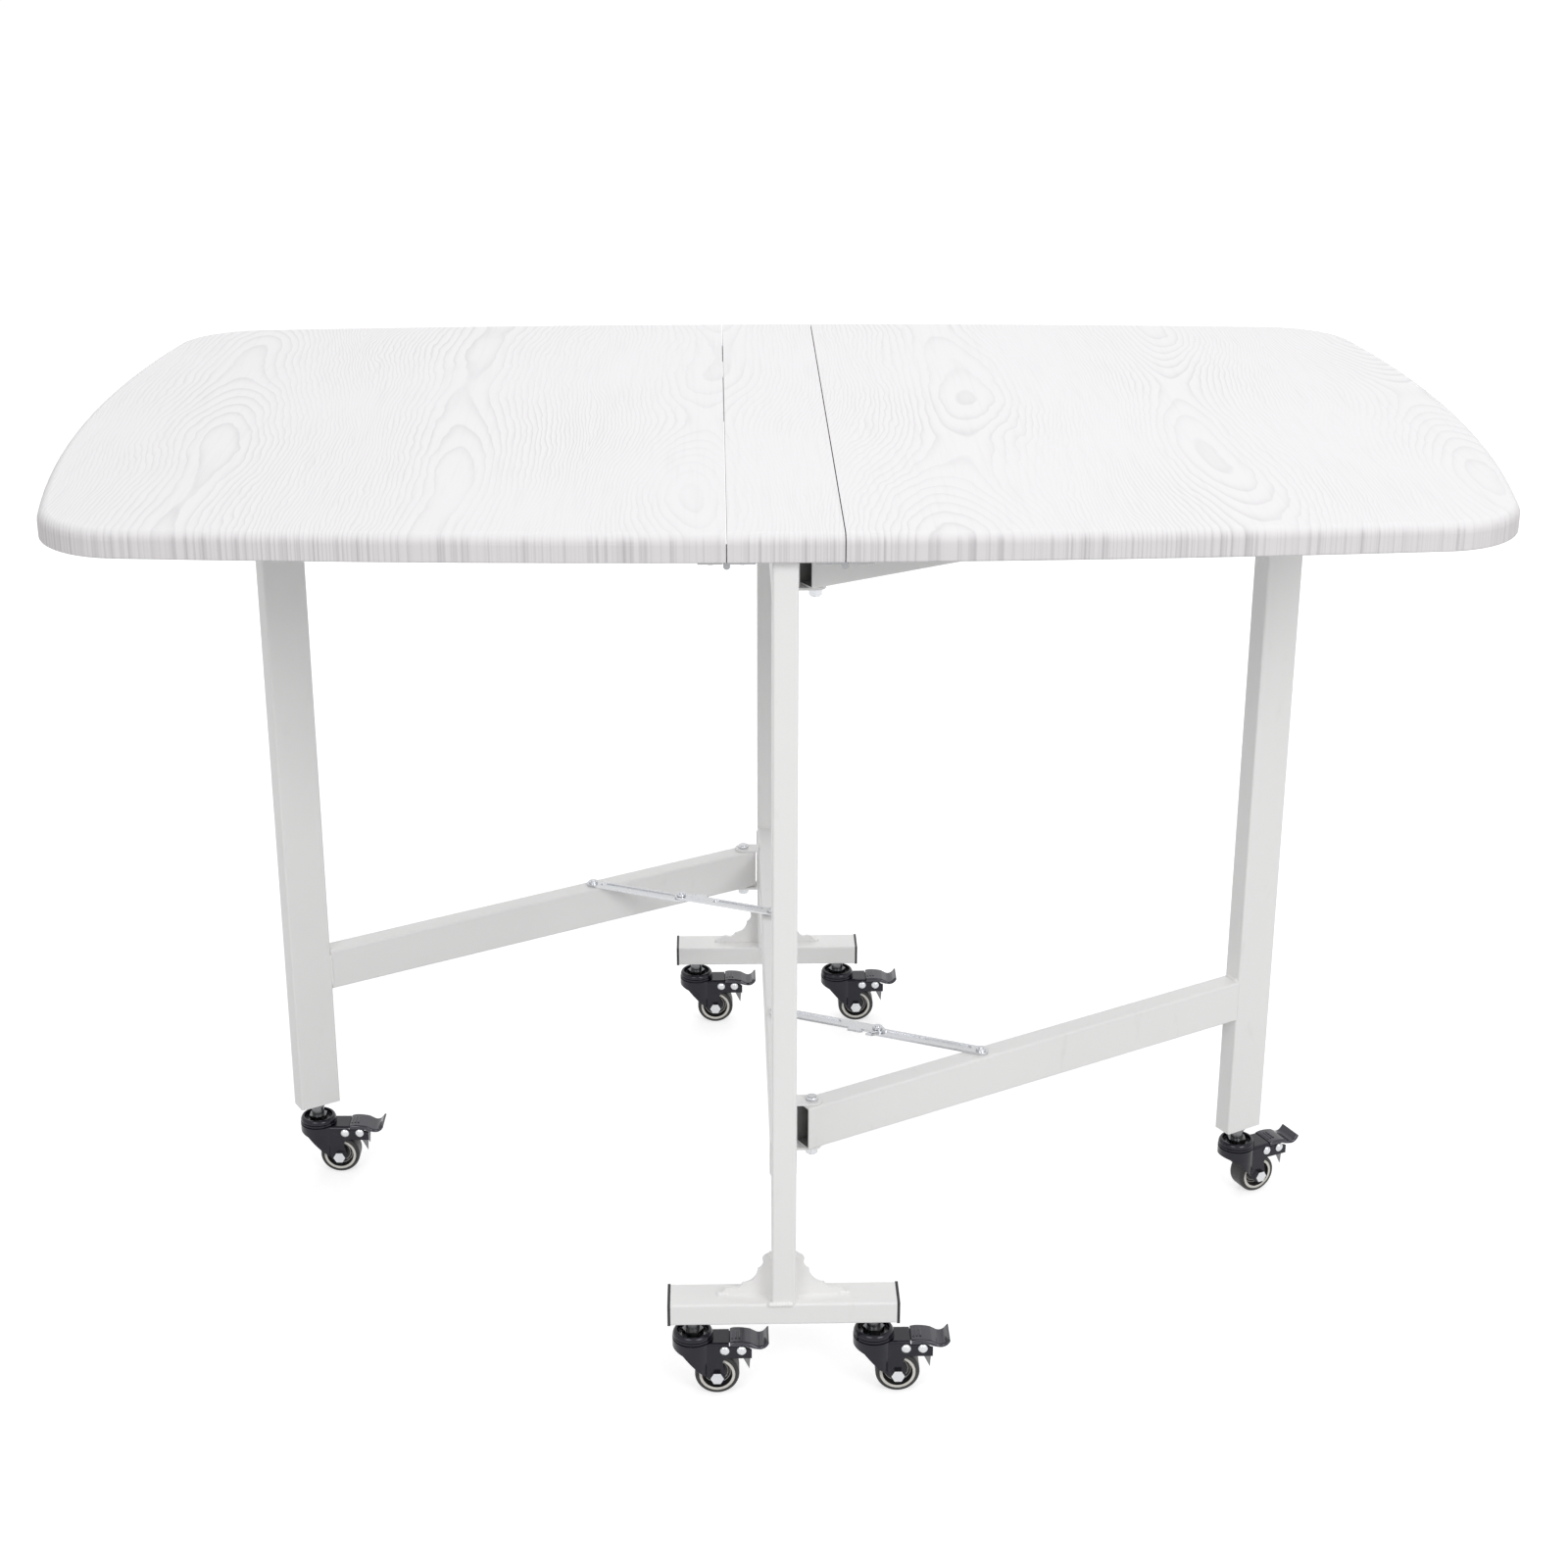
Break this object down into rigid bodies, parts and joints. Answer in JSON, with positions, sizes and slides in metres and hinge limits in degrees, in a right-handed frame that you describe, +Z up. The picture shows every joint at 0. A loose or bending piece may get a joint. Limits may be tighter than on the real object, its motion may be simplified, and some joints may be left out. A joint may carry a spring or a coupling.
{
  "type": "fold-down gateleg table",
  "caption": "Fold-down dining table with a fixed centre strip, hinged leaves, swinging gate legs on folding stays, and braked swivel casters.",
  "frame": {"origin": "on the floor under the middle of the top", "axes": "+X along the top's length, to the right in the picture; +Y to the back; +Z up"},
  "size_m": [1.1998, 0.76, 0.766],
  "materials": {
    "white_board": "satin white wood grain film",
    "white_powder_coat": "satin",
    "zinc_steel": "zinc plated",
    "black_paint": "gloss",
    "black_tyre": "satin",
    "cream_plastic": "gloss",
    "black_plastic": "matt"
  },
  "bodies": {
    "frame": {"centre_panel": "white_board", "centre_strip_hinges": "zinc_steel", "front_post": "white_powder_coat", "rear_post": "white_powder_coat", "lower_stretcher": "white_powder_coat", "upper_rail": "white_powder_coat", "front_foot_bar": "white_powder_coat", "rear_foot_bar": "white_powder_coat", "foot_end_caps": "black_plastic", "foot_gussets": "white_powder_coat", "gate_pivot_brackets": "white_powder_coat", "frame_fasteners": "zinc_steel"},
    "right_leaf": {"right_leaf": "white_board", "right_leaf_hinges": "zinc_steel"},
    "right_gate": {"right_gate_leg": "white_powder_coat", "right_gate_leg_glide": "black_plastic", "right_gate_lower_rail": "white_powder_coat", "right_gate_upper_rail": "white_powder_coat", "right_gate_fittings": "zinc_steel"},
    "right_stay_inner": {"right_stay_inner_link": "zinc_steel"},
    "right_stay_outer": {"right_stay_outer_link": "zinc_steel"},
    "left_leaf": {"left_leaf": "white_board", "left_leaf_hinges": "zinc_steel"},
    "left_gate": {"left_gate_leg": "white_powder_coat", "left_gate_leg_glide": "black_plastic", "left_gate_lower_rail": "white_powder_coat", "left_gate_upper_rail": "white_powder_coat", "left_gate_fittings": "zinc_steel"},
    "left_stay_inner": {"left_stay_inner_link": "zinc_steel"},
    "left_stay_outer": {"left_stay_outer_link": "zinc_steel"},
    "front_right_caster": {"front_right_caster_fork": "black_paint", "front_right_caster_fittings": "zinc_steel"},
    "front_right_wheel": {"front_right_caster_tyre": "black_tyre", "front_right_caster_hub": "cream_plastic"},
    "front_right_brake": {"front_right_caster_pedal": "black_paint"},
    "front_left_caster": {"front_left_caster_fork": "black_paint", "front_left_caster_fittings": "zinc_steel"},
    "front_left_wheel": {"front_left_caster_tyre": "black_tyre", "front_left_caster_hub": "cream_plastic"},
    "front_left_brake": {"front_left_caster_pedal": "black_paint"},
    "rear_right_caster": {"rear_right_caster_fork": "black_paint", "rear_right_caster_fittings": "zinc_steel"},
    "rear_right_wheel": {"rear_right_caster_tyre": "black_tyre", "rear_right_caster_hub": "cream_plastic"},
    "rear_right_brake": {"rear_right_caster_pedal": "black_paint"},
    "rear_left_caster": {"rear_left_caster_fork": "black_paint", "rear_left_caster_fittings": "zinc_steel"},
    "rear_left_wheel": {"rear_left_caster_tyre": "black_tyre", "rear_left_caster_hub": "cream_plastic"},
    "rear_left_brake": {"rear_left_caster_pedal": "black_paint"},
    "right_leg_caster": {"right_leg_caster_fork": "black_paint", "right_leg_caster_fittings": "zinc_steel"},
    "right_leg_wheel": {"right_leg_caster_tyre": "black_tyre", "right_leg_caster_hub": "cream_plastic"},
    "right_leg_brake": {"right_leg_caster_pedal": "black_paint"},
    "left_leg_caster": {"left_leg_caster_fork": "black_paint", "left_leg_caster_fittings": "zinc_steel"},
    "left_leg_wheel": {"left_leg_caster_tyre": "black_tyre", "left_leg_caster_hub": "cream_plastic"},
    "left_leg_brake": {"left_leg_caster_pedal": "black_paint"}
  },
  "joints": [
    {"name": "right_leaf_hinge", "type": "hinge", "parent": "frame", "child": "right_leaf", "pos_m": [0.0445, 0, 0.741], "axis": [0, -1, 0], "range_deg": [0, 1]},
    {"name": "right_gate_swing", "type": "hinge", "parent": "frame", "child": "right_gate", "pos_m": [0.026, -0.276, 0.214], "axis": [0, 0, 1], "range_deg": [0, 60]},
    {"name": "right_stay_root", "type": "hinge", "parent": "frame", "child": "right_stay_inner", "pos_m": [0, -0.1094, 0.2343], "axis": [0, 0, 1], "range_deg": [0, 126.36]},
    {"name": "right_stay_elbow", "type": "hinge", "parent": "right_stay_inner", "child": "right_stay_outer", "pos_m": [0.08943, -0.14858, 0.2343], "axis": [0, 0, 1], "range_deg": [-163.67, 0]},
    {"name": "left_leaf_hinge", "type": "hinge", "parent": "frame", "child": "left_leaf", "pos_m": [-0.0445, 0, 0.741], "axis": [0, 1, 0], "range_deg": [0, 1]},
    {"name": "left_gate_swing", "type": "hinge", "parent": "frame", "child": "left_gate", "pos_m": [-0.026, 0.276, 0.214], "axis": [0, 0, 1], "range_deg": [0, 60]},
    {"name": "left_stay_root", "type": "hinge", "parent": "frame", "child": "left_stay_inner", "pos_m": [0, 0.1094, 0.2343], "axis": [0, 0, 1], "range_deg": [0, 126.36]},
    {"name": "left_stay_elbow", "type": "hinge", "parent": "left_stay_inner", "child": "left_stay_outer", "pos_m": [-0.08943, 0.14858, 0.2343], "axis": [0, 0, 1], "range_deg": [-163.67, 0]},
    {"name": "front_right_swivel", "type": "hinge", "parent": "frame", "child": "front_right_caster", "pos_m": [0.077, -0.3526, 0.051], "axis": [0, 0, 1], "continuous": true},
    {"name": "front_right_roll", "type": "hinge", "parent": "front_right_caster", "child": "front_right_wheel", "pos_m": [0.0975, -0.3526, 0.019], "axis": [0, 1, 0], "continuous": true},
    {"name": "front_right_brake_press", "type": "hinge", "parent": "front_right_caster", "child": "front_right_brake", "pos_m": [0.1183, -0.3526, 0.045], "axis": [0, 1, 0], "range_deg": [0, 10]},
    {"name": "front_left_swivel", "type": "hinge", "parent": "frame", "child": "front_left_caster", "pos_m": [-0.077, -0.3526, 0.051], "axis": [0, 0, 1], "continuous": true},
    {"name": "front_left_roll", "type": "hinge", "parent": "front_left_caster", "child": "front_left_wheel", "pos_m": [-0.0565, -0.3526, 0.019], "axis": [0, 1, 0], "continuous": true},
    {"name": "front_left_brake_press", "type": "hinge", "parent": "front_left_caster", "child": "front_left_brake", "pos_m": [-0.0357, -0.3526, 0.045], "axis": [0, 1, 0], "range_deg": [0, 10]},
    {"name": "rear_right_swivel", "type": "hinge", "parent": "frame", "child": "rear_right_caster", "pos_m": [0.077, 0.3526, 0.051], "axis": [0, 0, 1], "continuous": true},
    {"name": "rear_right_roll", "type": "hinge", "parent": "rear_right_caster", "child": "rear_right_wheel", "pos_m": [0.0975, 0.3526, 0.019], "axis": [0, 1, 0], "continuous": true},
    {"name": "rear_right_brake_press", "type": "hinge", "parent": "rear_right_caster", "child": "rear_right_brake", "pos_m": [0.1183, 0.3526, 0.045], "axis": [0, 1, 0], "range_deg": [0, 10]},
    {"name": "rear_left_swivel", "type": "hinge", "parent": "frame", "child": "rear_left_caster", "pos_m": [-0.077, 0.3526, 0.051], "axis": [0, 0, 1], "continuous": true},
    {"name": "rear_left_roll", "type": "hinge", "parent": "rear_left_caster", "child": "rear_left_wheel", "pos_m": [-0.0565, 0.3526, 0.019], "axis": [0, 1, 0], "continuous": true},
    {"name": "rear_left_brake_press", "type": "hinge", "parent": "rear_left_caster", "child": "rear_left_brake", "pos_m": [-0.0357, 0.3526, 0.045], "axis": [0, 1, 0], "range_deg": [0, 10]},
    {"name": "right_leg_swivel", "type": "hinge", "parent": "right_gate", "child": "right_leg_caster", "pos_m": [0.44602, -0.0335, 0.051], "axis": [0, 0, 1], "continuous": true},
    {"name": "right_leg_roll", "type": "hinge", "parent": "right_leg_caster", "child": "right_leg_wheel", "pos_m": [0.4646, -0.02484, 0.019], "axis": [-0.4226, 0.9063, 0], "continuous": true},
    {"name": "right_leg_brake_press", "type": "hinge", "parent": "right_leg_caster", "child": "right_leg_brake", "pos_m": [0.48345, -0.01605, 0.045], "axis": [-0.4226, 0.9063, 0], "range_deg": [0, 10]},
    {"name": "left_leg_swivel", "type": "hinge", "parent": "left_gate", "child": "left_leg_caster", "pos_m": [-0.44602, 0.0335, 0.051], "axis": [0, 0, 1], "continuous": true},
    {"name": "left_leg_roll", "type": "hinge", "parent": "left_leg_caster", "child": "left_leg_wheel", "pos_m": [-0.42552, 0.03314, 0.019], "axis": [0.0175, 0.9998, 0], "continuous": true},
    {"name": "left_leg_brake_press", "type": "hinge", "parent": "left_leg_caster", "child": "left_leg_brake", "pos_m": [-0.40473, 0.03278, 0.045], "axis": [0.0175, 0.9998, 0], "range_deg": [0, 10]}
  ],
  "couplings": [
    {"joint": "right_stay_root", "follows": "right_gate_swing", "ratio": 2.1052},
    {"joint": "right_stay_elbow", "follows": "right_gate_swing", "ratio": -2.7269},
    {"joint": "left_stay_root", "follows": "left_gate_swing", "ratio": 2.1052},
    {"joint": "left_stay_elbow", "follows": "left_gate_swing", "ratio": -2.7269}
  ]
}
